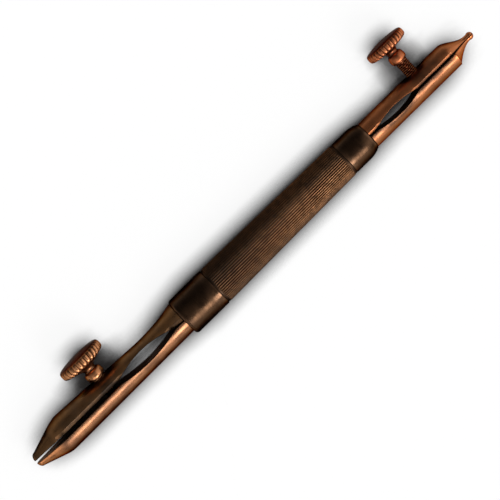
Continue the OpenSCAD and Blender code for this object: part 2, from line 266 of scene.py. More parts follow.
def grip_profile():
    """Socket, joint chamfer, plain margin, knurling that fades in and out, and the same at the far end."""
    first, last = GRIP_START + KNURL_MARGIN, GRIP_END - KNURL_MARGIN
    band = 0.5 * KNURL_DEPTH
    profile = [(GRIP_START + SOCKET_L, 0, 0), (GRIP_START + SOCKET_L, SOCKET_R, 0),
               (GRIP_START, SOCKET_R, 0), (GRIP_START, KNURL_R_OPENER - JOINT_CHAMFER - band, 0),
               (GRIP_START + JOINT_CHAMFER, KNURL_R_OPENER - band, 0),
               (first, grip_radius(first) - band, 0)]
    for t in np.linspace(0, 1, FADE_RINGS)[1:]:
        x = first + KNURL_FADE * t
        profile.append((x, grip_radius(x) - band * (1 - t), t * t * (3 - 2 * t)))
    for x in np.linspace(first + KNURL_FADE, last - KNURL_FADE, GRIP_RINGS)[1:]:
        profile.append((x, grip_radius(x), 1))
    for t in np.linspace(1, 0, FADE_RINGS)[1:]:
        x = last - KNURL_FADE * t
        profile.append((x, grip_radius(x) - band * (1 - t), t * t * (3 - 2 * t)))
    return profile + [(GRIP_END - JOINT_CHAMFER, KNURL_R_CLOSER - band, 0),
                      (GRIP_END, KNURL_R_CLOSER - JOINT_CHAMFER - band, 0), (GRIP_END, SOCKET_R, 0),
                      (GRIP_END - SOCKET_L, SOCKET_R, 0), (GRIP_END - SOCKET_L, 0, 0)]


def make_grip():
    obj = turned("grip", grip_profile(), KNURL_RIDGES * RIDGE_STEPS, ripple=knurl)

    def wear_and_sheen(p):
        """Most on the ridges' crests, and more towards the closer."""
        depth = grip_radius(p.x) - math.hypot(p.y, p.z)
        along = (p.x - GRIP_START) / (GRIP_END - GRIP_START)
        return (1 - depth / (0.7 * KNURL_DEPTH)) * (0.6 + 0.4 * rise(along, 0.2, 0.7))

    mark(smooth(obj, 40), "wear_and_sheen", wear_and_sheen)
    # Grime in the knurling's valleys, and painted shade on the sides
    mark(obj, "grime_and_shade", lambda p: 1 - wear_and_sheen(p) * (1 - handle_side_shade(p)))
    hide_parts("grip_sleeve")
    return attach(obj, "handle")


def collar_outline(end):
    """Back chamfer, barrel, rounded mouth, lip and bore, as (u, r)."""
    r = end.collar_r
    back = [(-end.collar_l, end.bore_r), (-end.collar_l, r - JOINT_CHAMFER),
            (JOINT_CHAMFER - end.collar_l, r)]
    barrel = [(-end.collar_l * (1 - t), r) for t in (0.25, 0.5)]
    reach = end.mouth_round * math.sin(end.mouth_sweep)
    mouth = [(-reach + end.mouth_round * math.sin(a), r - end.mouth_round * (1 - math.cos(a)))
             for a in np.linspace(0, end.mouth_sweep, CURVE_STEPS + 1)]
    lip = [(0, (mouth[-1][1] + end.bore_r) / 2), (0, end.bore_r + LIP), (-LIP, end.bore_r),
           (-end.collar_l / 2, end.bore_r)]
    return fillet(back, JOINT_ROUND) + barrel + mouth + lip


def make_collar(end):
    """Plain ferrule, brighter round its mouth and along the edge at its back."""
    profile = [(end.x(u), r, 0) for u, r in collar_outline(end)]
    obj = turned(end.name + "_ferrule", profile, COLLAR_STEPS, loop=True)

    def wear_and_sheen(p):
        u = (p.x - end.mouth) * end.out
        if math.hypot(p.y, p.z) < end.bore_r + LIP:
            return 0
        return 0.8 * near(u + 0.1 * MM, 0.5 * MM) + 0.7 * near(u + end.collar_l, 0.35 * MM)

    mark(smooth(obj, 35), "wear_and_sheen", wear_and_sheen)
    # Painted shade on the collar's sides, and no grime
    mark(obj, "grime_and_shade", handle_side_shade)
    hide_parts(end.name + "_collar")
    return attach(obj, "handle")


# Jaws

PAST_TIP = 1 * MM
OPENER_CORNER_U = 34.2 * MM
CLOSER_CORNER_U = 23.7 * MM
CLOSER_BACK_R = 3.05 * MM
BALL_R = 0.82 * MM
NECK_R = 0.72 * MM
NECK_U = 27.8 * MM


def hollow(u0, u1, y0, y1, depth):
    """Points of the lens-shaped hollow from (u0, y0) to (u1, y1), without its ends."""
    return [(u0 + (u1 - u0) * t, y0 + (y1 - y0) * t + depth * 4 * t * (1 - t))
            for t in np.linspace(0, 1, 2 * CURVE_STEPS + 1)[1:-1]]


def opener_inner(depth):
    """The inner face of an opener jaw, as (u, y): root, hollow, slit and tip."""
    root, slit, far, tip, touch = 0.07 * MM, 0.25 * MM, 0.2 * MM, 0.12 * MM, 0.01 * MM
    u0, u1, length = 2.4 * MM, 17.6 * MM, opener.length
    return ([(-ROOT_STEP, root), (u0, root)] + hollow(u0, u1, root, slit, depth)
            + [(u1, slit), (opener.screw_u, slit), (OPENER_CORNER_U, far), (length - 3 * MM, tip),
               (length - 0.6 * MM, touch), (length + PAST_TIP, touch)])


def nose():
    """Rounded end of the opener's tips."""
    radius, reach, sweep = 1.35 * MM, 0.95 * MM, math.radians(88)
    return [(opener.length - reach * (1 - math.sin(a)), radius * math.cos(a))
            for a in np.linspace(0, sweep, CURVE_STEPS)]


def opener_screw_outline():
    """Flare at the collar, waist, straight rise to the shoulder, two bevels and the nose."""
    flare, waist, shoulder, power = 3.95 * MM, 2.9 * MM, 3.8 * MM, 2.3
    waist_u, shoulder_u, drop, soft = 10.3 * MM, 32.3 * MM, 0.42 * MM, 0.5 * MM
    line = [(ROOT_STEP + (waist_u - ROOT_STEP) * t, waist + (flare - waist) * (1 - t) ** power)
            for t in np.linspace(0, 1, 2 * CURVE_STEPS + 1)]
    bevel = [line[-1], (shoulder_u, shoulder), (OPENER_CORNER_U, shoulder - drop), nose()[0]]
    return ([(-ROOT_DEPTH, opener.root_r), (0, opener.root_r)] + line
            + fillet(bevel, soft)[1:-1] + nose())


def opener_plain_outline():
    """Straight to a soft corner, a bevel and the nose."""
    radius, soft, soft_steps = 3.42 * MM, 1.2 * MM, 8
    bevel = [(-ROOT_DEPTH, radius), (OPENER_CORNER_U, radius), nose()[0]]
    return fillet(bevel, soft, soft_steps)[:-1] + nose()


def closer_inner():
    """The inner face of a closer jaw: slit, hollow, slit and the cut through the ball."""
    slit, tip, depth = 0.17 * MM, 0.015 * MM, 0.85 * MM
    u0, u1 = 2.1 * MM, 13.6 * MM
    return ([(-ROOT_STEP, slit), (u0, slit)] + hollow(u0, u1, slit, slit, depth)
            + [(u1, slit), (CLOSER_CORNER_U, slit), (NECK_U - 0.6 * MM, tip),
               (closer.length + PAST_TIP, tip)])


def ball():
    """Round end of the closer's tips, from its neck to the point."""
    centre = closer.length - BALL_R
    start = math.pi - math.asin(NECK_R / BALL_R)
    return [(centre + BALL_R * math.cos(a), BALL_R * math.sin(a))
            for a in np.linspace(start, math.radians(4), 2 * CURVE_STEPS)]


def closer_screw_outline():
    """Rounds over like a shoulder, then sweeps in to the neck and the ball."""
    round_u, power = 22.3 * MM, 0.92
    radius = CLOSER_BACK_R
    sweep = [(round_u + (NECK_U - round_u) * t,
              NECK_R + (radius - NECK_R) * (0.5 + 0.5 * math.cos(math.pi * t ** power)))
             for t in np.linspace(0, 1, 3 * CURVE_STEPS + 1)]
    return [(-ROOT_DEPTH, closer.root_r), (0, closer.root_r), (2 * ROOT_STEP, radius)] + sweep + ball()


def closer_plain_outline():
    """Straight to a sharp corner, then a hollow sweep to the neck and the ball."""
    corner_u, corner_l, drop, power = CLOSER_CORNER_U, 0.12 * MM, 0.2 * MM, 1.6
    radius = CLOSER_BACK_R
    sweep = [(corner_u + (NECK_U - corner_u) * t, NECK_R + (radius - drop - NECK_R) * (1 - t) ** power)
             for t in np.linspace(0, 1, 2 * CURVE_STEPS + 1)]
    return ([(-ROOT_DEPTH, closer.root_r), (0, closer.root_r), (2 * ROOT_STEP, radius),
             (corner_u - corner_l, radius)] + sweep + ball())


FLAT_POINTS = 9
ROUND_POINTS = 49
TANG_SIDE_POINTS = 12
FACET_MIN = 0.12 * MM
FACET_FADE = 0.6 * MM
WIDTH_SHARE, DROP_SHARE = 0.4, 0.25
LEAST_EDGE = 0.2
SOFT_SHARE = 0.3
STATION_STEP, STATION_GAP = 0.4 * MM, 0.015 * MM
SCREW_STEP, SCREW_REACH = 0.25 * MM, 3 * MM
THINNEST = 0.02 * MM
PIN_CUT = 9 * MM
CUTTER_ROOM = 3 * MM


def jaw_section(radius, inner, width, drop):
    """Half-round section as (y, z): flat inner face, a facet along each of its edges, round back.
    The facet is width wide across the slit's plane and takes drop off the edge, each at most a
    share of the room in a thin section."""
    room = radius - inner
    width, drop = min(width, WIDTH_SHARE * room), min(drop, DROP_SHARE * room)
    top = math.sqrt(radius ** 2 - (inner + width) ** 2)
    low = max(top - drop, LEAST_EDGE * top)
    turn = math.asin((inner + width) / radius)
    soft = SOFT_SHARE * min(width, drop)
    turn_soft = turn + soft / radius
    corner, ridge = (inner, low), (inner + width, top)
    inside, beyond = (inner, low - soft), (radius * math.sin(turn_soft), radius * math.cos(turn_soft))
    near_edge = fillet([inside, corner, ridge, beyond], soft, 3)
    near_edge = [near_edge[0]] + near_edge[2:-1]
    flat = [(inner, z) for z in np.linspace(-low + soft, low - soft, FLAT_POINTS)]
    back = [(radius * math.sin(a), radius * math.cos(a))
            for a in np.linspace(turn_soft, math.pi - turn_soft, ROUND_POINTS)]
    return flat + near_edge[1:] + back + [(y, -z) for y, z in reversed(near_edge[1:])]


def tang_section(end, count):
    """Flat bar section of count points in the same order as jaw_section's."""
    low, high, half = TANG_IN, end.tang_out, end.tang_t / 2
    flat = [(low, z) for z in np.linspace(-half, half, FLAT_POINTS)]
    side = [(y, half) for y in np.linspace(low, high, TANG_SIDE_POINTS)[1:]]
    top_count = count - len(flat) - 2 * len(side)
    top = [(high, z) for z in np.linspace(half, -half, top_count + 2)[1:-1]]
    return flat + side + top + [(y, -z) for y, z in reversed(side)]


def stations(outline, inner, screw_u, length):
    """Places along a jaw where it gets a section, closer together round the screw."""
    places = set(round(u, 8) for u, r in outline)
    places |= set(round(u, 8) for u, y in inner if u <= length)
    places |= set(round(u, 8) for u in np.arange(STATION_STEP, length - 1 * MM, STATION_STEP))
    round_screw = np.arange(-SCREW_REACH, SCREW_REACH + 0.01 * MM, SCREW_STEP)
    places |= set(round(screw_u + d, 8) for d in round_screw)
    ordered = sorted(u for u in places if u > ROOT_STEP / 2 or u <= 0)
    kept = [ordered[0]]
    for u in ordered[1:]:
        if u - kept[-1] > STATION_GAP:
            kept.append(u)
    return kept


class JawShape:
    """The form and the marks of one jaw. side is 1 for the screw jaw and -1 for the plain one.
    facet is the width and drop of the facet along the slit, which fades in the hollow and at
    facet_end. edge_shade says how dark the painted shade makes the screw jaw's facet, or the plain
    jaw's back near the slit, and crown how dark the painted shade makes the side away from the slit."""

    def __init__(self, end, side, outline, inner, facet, facet_end, edge_shade, crown):
        self.end = end
        self.side = side
        self.outline = outline
        self.inner = inner
        self.outline_u, self.outline_r = zip(*outline)
        self.inner_u, self.inner_y = zip(*inner)
        self.narrow, self.deepest = self.inner_y[-3], max(self.inner_y)
        self.facet = facet
        self.facet_end = facet_end
        self.edge_shade = edge_shade
        self.crown = crown

    def figures(self, u):
        """Radius of the back and height of the inner face at u."""
        return (float(np.interp(u, self.outline_u, self.outline_r)),
                float(np.interp(u, self.inner_u, self.inner_y)))

    def facet_share(self, u, y):
        whole = 1 - 0.9 * rise(y, self.narrow + 0.1 * MM, 0.6 * self.deepest)
        return whole * (1 - rise(u, self.facet_end, self.facet_end + FACET_FADE))

    def on_facet(self, u, height, y):
        """1 on the facet and 0 off it, for a point at height over the slit's plane."""
        width = max(FACET_MIN, self.facet[0] * self.facet_share(u, y))
        return rise(height, y - 0.02 * MM, y + 0.03 * MM) * (1 - rise(height, y + width, y + 1.25 * width))

    def sections(self):
        """Sections from the tang to the tip, as (u, points)."""
        rings = []
        for u in stations(self.outline, self.inner, self.end.screw_u, self.end.length):
            radius, y = self.figures(u)
            if radius - y < THINNEST:
                continue
            share = self.facet_share(u, y)
            width, drop = (max(FACET_MIN, size * share) for size in self.facet)
            rings.append((u, jaw_section(radius, y, width, drop)))
        tang = tang_section(self.end, len(rings[0][1]))
        return [(u, tang) for u in (-TANG_L, -ROOT_DEPTH - TANG_TAPER, -ROOT_DEPTH)] + rings

    def points(self):
        """The sections in place, with the jaw swung about its pin as it rests."""
        end, rings = self.end, self.sections()
        turn, pin_y = end.rest_turn, end.pin_y
        points = np.zeros((len(rings), len(rings[0][1]), 3))
        for i, (u, section) in enumerate(rings):
            for j, (y, z) in enumerate(section):
                du, dy = u + PIN_DEPTH, y - pin_y
                points[i, j] = (end.x(-PIN_DEPTH + du * math.cos(turn) - dy * math.sin(turn)),
                                self.side * (pin_y + du * math.sin(turn) + dy * math.cos(turn)), z)
        return points

    def level(self, p):
        """u, and the height over the slit's plane with the jaw's swing taken out."""
        u = (p.x - self.end.mouth) * self.end.out
        return u, self.side * p.y - (u + PIN_DEPTH) * math.sin(self.end.rest_turn)

    def wear_and_sheen(self, p):
        """Painted highlight at the end of the screw jaw's facet, and painted light on the plain jaw's cone
        near its tip.
        """
        u, height = self.level(p)
        if u < 0:
            return 0
        if self.side < 0:
            return 0.8 * rise(u, self.end.length - 7 * MM, self.end.length - 5 * MM)
        radius, y = self.figures(u)
        rim = radius - self.facet[1]
        outer = rise(math.hypot(height, p.z), rim - 0.25 * MM, rim)
        return 0.9 * near(u - self.facet_end, 0.9 * MM) * self.on_facet(u, height, y) * outer

    def grime_and_shade(self, p):
        """Painted shade on the crown and on the inner face between the jaws, and on the screw jaw round the
        screw's foot under the head, on the facet and on the opener's cone. On the plain jaw beside the
        slit."""
        u, height = self.level(p)
        radius, y = self.figures(u)
        low, high = (0.6, 0.97) if self.side > 0 else (0.5, 0.9)
        away = self.crown * rise(height / max(radius, MM), low, high)
        inside = 1 - rise(height, y, y + 0.02 * MM)
        if self.side < 0:
            edge = 1 - rise(height, y + 0.4 * MM, y + 1.3 * MM)
            edge *= 1 - rise(u, self.end.length - 7.5 * MM, self.end.length - 5.5 * MM)
            return away + inside + self.edge_shade * edge
        reach = math.hypot(u - self.end.screw_u, p.z) - self.end.stem_r
        foot = 1 - rise(reach, 0.6 * MM, 2.4 * MM)
        edge = self.on_facet(u, height, y) * (1 - 0.9 * near(u - self.facet_end, 1.6 * MM))
        cone = rise(u, self.facet_end, self.facet_end + 1.5 * MM) if self.end is opener else 0
        return away + inside + 0.9 * foot + self.edge_shade * edge + 0.5 * cone


def make_jaw(node, shape):
    """Half-round jaw with a flat tang behind it, drilled for its pin and the screw jaw for the stem."""
    end, hole = shape.end, shape.end.pin_r + PIN_PLAY
    obj = loft(node.replace("jaw", "leaf"), shape.points())
    pin_hole = [(-PIN_CUT, 0, 0), (-PIN_CUT, hole, 0), (PIN_CUT, hole, 0), (PIN_CUT, 0, 0)]
    cutters = [turned("pin_hole", pin_hole, 48, "Z", (end.x(-PIN_DEPTH), shape.side * end.pin_y, 0))]
    if shape.side > 0:
        cutters.append(stem_cutter(end))
    cut(obj, *cutters)
    smooth(obj, 24)
    mark(obj, "wear_and_sheen", shape.wear_and_sheen)
    mark(obj, "grime_and_shade", shape.grime_and_shade)
    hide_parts(node)
    return obj


def stem_cutter(end):
    """Clearance hole with a small countersink, and on the opener the flat where the bead lands."""
    hole, sink = end.stem_r + STEM_PLAY, 0.18 * MM
    if end is opener:
        top, seat = end.seat_y, end.head_r * BEAD_R + 0.15 * MM
        profile = [(0, 0, 0), (0, hole, 0), (top - sink, hole, 0), (top, hole + sink, 0),
                   (top, seat, 0), (top + CUTTER_ROOM, seat, 0), (top + CUTTER_ROOM, 0, 0)]
    else:
        top, wide = CLOSER_BACK_R, hole + 2 * sink
        profile = [(0, 0, 0), (0, hole, 0), (top - 2 * sink, hole, 0), (top, wide, 0),
                   (top + CUTTER_ROOM, wide, 0), (top + CUTTER_ROOM, 0, 0)]
    return turned("stem_hole", profile, 64, "Y", (end.x(end.screw_u), 0, 0))


# Thumbscrews. Radii and heights over the seat are shares of head_r, unless they say mm

BEAD_R, BEAD_H = 0.387, 0.217
FOOT_R, FOOT_H = 0.3, 0.16
WAIST_R, WAIST_L = 0.254, 0.033
HEAD_NECK_R = 0.45
UNDER_R, UNDER_H = 0.87, 0.735
UNDER_PLACES = (0.35, 0.7, 0.95)
RIM_R, RIM_H, RIM_HALF_W, RIM_HALF_H = 0.848, 0.935, 0.152, 0.196
RIM_TURN, RIM_FADE, RIM_POWER, RIM_RINGS = 82, 30, 0.75, 29
TOP_R, TOP_H, CROWN_H, CROWN_RINGS = 0.74, 1.148, 1.174, 8
HEAD_RIDGES, HEAD_RIDGE_STEPS = 30, 12
RIDGE_DEPTH, RIDGE_POWER = 0.05, 0.8
TENON_H, TENON_ROOM = 0.696, 0.043
THREAD_DEPTH, THREAD_POWER = 0.2 * MM, 1.2
THREAD_RINGS, THREAD_STEPS = 8, 56
STEM_POINT, STEM_PLAIN = 0.35 * MM, 0.3 * MM


def head_foot(end):
    """(height, radius) from the tenon hole out over bead, neck and underside."""
    k, hole = end.head_r, end.tenon_r
    waist_h = end.bead_top + WAIST_L
    line = [(k * (TENON_H + TENON_ROOM), 0), (k * (TENON_H + TENON_ROOM), hole), (0, hole)]
    line += arc(k * FOOT_H, k * FOOT_R, k * FOOT_H, k * (BEAD_R - FOOT_R),
                math.pi, math.pi / 2, CURVE_STEPS)
    line += arc(k * BEAD_H, k * WAIST_R, k * (end.bead_top - BEAD_H), k * (BEAD_R - WAIST_R),
                math.pi / 2, 0, CURVE_STEPS)
    line += [(k * (waist_h + (end.neck_h - waist_h) * math.sin(a)),
              k * (WAIST_R + (HEAD_NECK_R - WAIST_R) * (1 - math.cos(a))))
             for a in np.linspace(0, math.pi / 2, CURVE_STEPS + 1)]
    line += [(k * (end.neck_h + (UNDER_H - end.neck_h) * t),
              k * (HEAD_NECK_R + (UNDER_R - HEAD_NECK_R) * t)) for t in UNDER_PLACES]
    return line


def head_profile(end):
    """(height, radius, ripple share) of the foot, then the ridged rim and the low crown."""
    k = end.head_r
    profile = [(h, r, 0) for h, r in head_foot(end)]
    for a in np.linspace(-RIM_TURN, RIM_TURN, RIM_RINGS):
        up, out = math.sin(math.radians(a)), math.cos(math.radians(a))
        height = k * (RIM_H + RIM_HALF_H * math.copysign(abs(up) ** RIM_POWER, up))
        radius = k * (RIM_R + RIM_HALF_W * out ** RIM_POWER)
        profile.append((height, radius, rise(RIM_TURN - abs(a), 0, RIM_FADE)))
    for t in np.linspace(0, 1, CROWN_RINGS):
        r = k * TOP_R * (1 - t)
        profile.append((k * (TOP_H + (CROWN_H - TOP_H) * (1 - (1 - t) ** 2)), r, 0))
    return profile


def make_head(end):
    depth = RIDGE_DEPTH * end.head_r

    def ridges(angles, height):
        return depth * (1 - np.abs(np.sin(angles * HEAD_RIDGES / 2)) ** RIDGE_POWER)

    base = end.seat_y + end.bead_gap
    origin = (end.x(end.screw_u), base, 0)
    steps = HEAD_RIDGES * HEAD_RIDGE_STEPS
    obj = turned(end.name + "_thumb_knob", head_profile(end), steps, "Y", origin, ridges)
    smooth(obj, 38)

    def place(p):
        return (p.y - base) / end.head_r, math.hypot(p.x - origin[0], p.z) / end.head_r

    def wear_and_sheen(p):
        """On the ridges' crests, less towards the crown, and round the bead."""
        h, r = place(p)
        crest = max(0.0, 1 - (1 - r) / RIDGE_DEPTH) if UNDER_H < h < TOP_H else 0
        bead = near(h - 0.12, 0.2) if r > 0.3 and h < 0.4 else 0
        return crest * (1 - rise(h, RIM_H, RIM_H + RIM_HALF_H)) + 0.5 * bead

    def grime_and_shade(p):
        """Painted shade on the crown and in the waist over the bead, and grime between the ridges."""
        h, r = place(p)
        valley = rise(1 - r, 0.4 * RIDGE_DEPTH, RIDGE_DEPTH) if abs(h - RIM_H) < 0.7 * RIM_HALF_H else 0
        waist = near(h - end.bead_top - WAIST_L, 0.1) * (1 - rise(r, 0.3, 0.4))
        return 0.6 * rise(h, RIM_H + 0.4 * RIM_HALF_H, RIM_H + RIM_HALF_H) + 0.6 * valley + 0.7 * waist

    mark(obj, "wear_and_sheen", wear_and_sheen)
    mark(obj, "grime_and_shade", grime_and_shade)
    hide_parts(end.name + "_thumb_head")
    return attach(obj, end.name + "_thumbscrew")


def make_stem(end, bottom):
    """Threaded rod with a pointed end and a plain tenon up into the head."""
    top = end.seat_y + end.bead_gap
    count = int((top - bottom) / (THREAD_PITCH / THREAD_RINGS))
    profile = [(bottom, 0, 0), (bottom, end.stem_r - STEM_POINT, 0)]
    for y in np.linspace(bottom + STEM_POINT, top, count):
        fade = min(1.0, (y - bottom) / (2 * STEM_POINT), (top - y) / STEM_PLAIN)
        profile.append((y, end.stem_r, max(fade, 0)))
    profile += [(top, end.tenon_r, 0), (top + TENON_H * end.head_r, end.tenon_r, 0),
                (top + TENON_H * end.head_r, 0, 0)]

    def thread(angles, height):
        phase = (height / THREAD_PITCH - angles / (2 * math.pi)) % 1.0
        return THREAD_DEPTH * np.abs(2 * phase - 1) ** THREAD_POWER

    origin = (end.x(end.screw_u), 0, 0)
    obj = turned(end.name + "_screw_thread", profile, THREAD_STEPS, "Y", origin, thread)
    smooth(obj, 50)

    def wear_and_sheen(p):
        r = math.hypot(p.x - end.x(end.screw_u), p.z)
        return 1 - (end.stem_r - r) / (0.6 * THREAD_DEPTH)

    mark(obj, "wear_and_sheen", lambda p: 0.5 * wear_and_sheen(p))
    # The whole stem is darkened, most in the thread's roots
    mark(obj, "grime_and_shade", lambda p: 0.3 + 0.6 * (1 - wear_and_sheen(p)))
    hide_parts(end.name + "_screw_stem")
    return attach(obj, end.name + "_thumbscrew")


# Materials

# Colour of the grime, also laid on as painted shade
GRIME_AND_SHADE = (0.022, 0.015, 0.011)
WEAR_AND_SHEEN_PATCH, GRIME_AND_SHADE_PATCH, PATINA_PATCH, ROUGH_PATCH = 1.3 * MM, 1.7 * MM, 5 * MM, 2.2 * MM
SPECKLE, SCRATCH, DENT = 0.55 * MM, 0.5 * MM, 1.4 * MM
BUMP_STRENGTH, BUMP_DEPTH, DENT_SHARE = 0.35, 0.012 * MM, 1.5


class Nodes:
    """Adds nodes to one tree and links them."""

    def __init__(self, tree):
        self.nodes = tree.nodes
        self.links = tree.links

    def feed(self, value, socket):
        """Links an output to a socket, or sets a number or a colour there."""
        if isinstance(value, bpy.types.NodeSocket):
            self.links.new(value, socket)
        elif isinstance(value, tuple):
            socket.default_value = (*value, 1)
        else:
            socket.default_value = value

    def noise(self, place, size, detail, stretch=(1, 1, 1), rough=0.55):
        mapping = self.nodes.new("ShaderNodeMapping")
        mapping.inputs["Scale"].default_value = stretch
        texture = self.nodes.new("ShaderNodeTexNoise")
        texture.inputs["Scale"].default_value = 1 / size
        texture.inputs["Detail"].default_value = detail
        texture.inputs["Roughness"].default_value = rough
        self.links.new(place, mapping.inputs["Vector"])
        self.links.new(mapping.outputs["Vector"], texture.inputs["Vector"])
        return texture.outputs["Fac"]

    def band(self, value, low, high, to_low=0.0, to_high=1.0, kind="SMOOTHSTEP"):
        """Maps the values from low to high onto to_low to to_high."""
        node = self.nodes.new("ShaderNodeMapRange")
        node.interpolation_type = kind
        numbers = {"From Min": low, "From Max": high, "To Min": to_low, "To Max": to_high}
        for socket, number in numbers.items():
            node.inputs[socket].default_value = number
        self.links.new(value, node.inputs["Value"])
        return node.outputs["Result"]

    def mix(self, factor, first, second):
        node = self.nodes.new("ShaderNodeMix")
        node.data_type = "RGBA"
        self.links.new(factor, node.inputs["Factor"])
        for name, value in (("A", first), ("B", second)):
            self.feed(value, [s for s in node.inputs if s.name == name and s.type == "RGBA"][0])
        return [s for s in node.outputs if s.type == "RGBA"][0]

    def maths(self, operation, first, second):
        node = self.nodes.new("ShaderNodeMath")
        node.operation = operation
        self.feed(first, node.inputs[0])
        self.feed(second, node.inputs[1])
        return node.outputs["Value"]

    def attribute(self, name):
        node = self.nodes.new("ShaderNodeAttribute")
        node.attribute_name = name
        return node.outputs["Fac"]


def tarnish(tree, place, patchy_wear_and_sheen, colour, worn_and_sheen_colour, dark_colour):
    """Mottled and speckled tarnish, bright on worn places and painted highlights, and dark on grime and
    painted shade.
    """
    patina = tree.mix(tree.band(tree.noise(place, PATINA_PATCH, 6), 0.38, 0.68), colour, dark_colour)
    speckles = tree.band(tree.noise(place, SPECKLE, 3, rough=0.7), 0.6, 0.75, 0.0, 0.55)
    speckled = tree.mix(speckles, patina, dark_colour)
    patches = tree.band(tree.noise(place, GRIME_AND_SHADE_PATCH, 5), 0.3, 0.6, 0.7, 1.0)
    patchy_grime_and_shade = tree.maths("MULTIPLY", tree.attribute("grime_and_shade"), patches)
    return tree.mix(patchy_grime_and_shade, tree.mix(patchy_wear_and_sheen, speckled, worn_and_sheen_colour), GRIME_AND_SHADE)


def metal(name, colour, worn_and_sheen_colour, dark_colour, roughness, worn_roughness, edge_tint, grain):
    """Patinated metal: mottled tarnish, grime in the hollows and painted shade, bright worn edges and
    painted highlights, and fine scratches.
    grain stretches the scratches along x, y and z."""
    material = bpy.data.materials.new(name)
    material.use_nodes = True
    tree = Nodes(material.node_tree)
    shader = tree.nodes["Principled BSDF"]
    tree.feed(1.0, shader.inputs["Metallic"])
    tree.feed(edge_tint, shader.inputs["Specular Tint"])
    place = tree.nodes.new("ShaderNodeTexCoord").outputs["Object"]

    patches = tree.band(tree.noise(place, WEAR_AND_SHEEN_PATCH, 4), 0.3, 0.62, 0.35, 1.0)
    patchy_wear_and_sheen = tree.maths("MULTIPLY", tree.attribute("wear_and_sheen"), patches)
    soiled = tarnish(tree, place, patchy_wear_and_sheen, colour, worn_and_sheen_colour, dark_colour)
    tree.feed(soiled, shader.inputs["Base Color"])

    scratches = tree.noise(place, SCRATCH, 5, grain, 0.7)
    base_rough = tree.band(tree.noise(place, ROUGH_PATCH, 5), 0.3, 0.7, roughness - 0.06, roughness + 0.1)
    scratched = tree.maths("ADD", base_rough, tree.band(scratches, 0.35, 0.65, -0.04, 0.05))
    worn = tree.maths("MULTIPLY", patchy_wear_and_sheen, worn_roughness - roughness)
    tree.feed(tree.maths("ADD", scratched, worn), shader.inputs["Roughness"])

    bump = tree.nodes.new("ShaderNodeBump")
    tree.feed(BUMP_STRENGTH, bump.inputs["Strength"])
    tree.feed(BUMP_DEPTH, bump.inputs["Distance"])
    dents = tree.maths("MULTIPLY", tree.noise(place, DENT, 4), DENT_SHARE)
    tree.feed(tree.maths("ADD", scratches, dents), bump.inputs["Height"])
    tree.feed(bump.outputs["Normal"], shader.inputs["Normal"])
    return material


def dress(obj, material):
    obj.data.materials.clear()
    obj.data.materials.append(material)


LENGTHWISE = (0.06, 1, 1)
AROUND_X = (1, 0.06, 0.06)
AROUND_Y = (0.06, 1, 0.06)
STEEL_TINT = (0.12, 0.09, 0.06)
JAW_TINT = (0.25, 0.18, 0.13)
SCREW_TINT = (0.2, 0.13, 0.09)

# Each has its colour, worn colour (also for painted highlights) and dark colour, roughness and worn
# roughness, edge tint and grain
grip_metal = metal("browned_steel_knurled", (0.058, 0.028, 0.013), (0.205, 0.095, 0.043),
                   (0.014, 0.009, 0.006), 0.42, 0.34, STEEL_TINT, LENGTHWISE)
collar_metal = metal("browned_steel_plain", (0.050, 0.026, 0.014), (0.13, 0.070, 0.040),
                     (0.028, 0.015, 0.009), 0.29, 0.25, STEEL_TINT, AROUND_X)
screw_jaw_metals = {
    "opener": metal("tarnished_bronze", (0.21, 0.100, 0.038), (0.36, 0.17, 0.085),
                    (0.15, 0.080, 0.040), 0.33, 0.28, JAW_TINT, LENGTHWISE),
    "closer": metal("tarnished_copper", (0.39, 0.132, 0.050), (0.45, 0.17, 0.075),
                    (0.19, 0.075, 0.035), 0.33, 0.28, JAW_TINT, LENGTHWISE),
}
plain_jaw_metals = {
    "opener": metal("handled_bronze", (0.24, 0.107, 0.051), (0.44, 0.17, 0.065),
                    (0.14, 0.062, 0.032), 0.26, 0.22, (0.3, 0.2, 0.14), LENGTHWISE),
    "closer": metal("handled_copper", (0.26, 0.100, 0.043), (0.47, 0.14, 0.048),
                    (0.17, 0.064, 0.028), 0.28, 0.24, (0.3, 0.19, 0.12), LENGTHWISE),
}
screw_metals = {
    "opener": metal("yellow_bronze", (0.30, 0.120, 0.050), (0.52, 0.24, 0.11),
                    (0.14, 0.060, 0.031), 0.27, 0.22, SCREW_TINT, AROUND_Y),
    "closer": metal("red_bronze", (0.34, 0.092, 0.034), (0.50, 0.175, 0.075),
                    (0.15, 0.048, 0.024), 0.29, 0.25, SCREW_TINT, AROUND_Y),
}
holder_metal = metal("turned_steel", (0.30, 0.28, 0.26), (0.45, 0.43, 0.4),
                     (0.16, 0.14, 0.12), 0.34, 0.28, (0.8, 0.8, 0.8), AROUND_X)


# Assembly

dress(make_grip(), grip_metal)
for end in (opener, closer):
    dress(make_collar(end), collar_metal)

EDGE_ONLY = (0.14 * MM, 0.14 * MM)
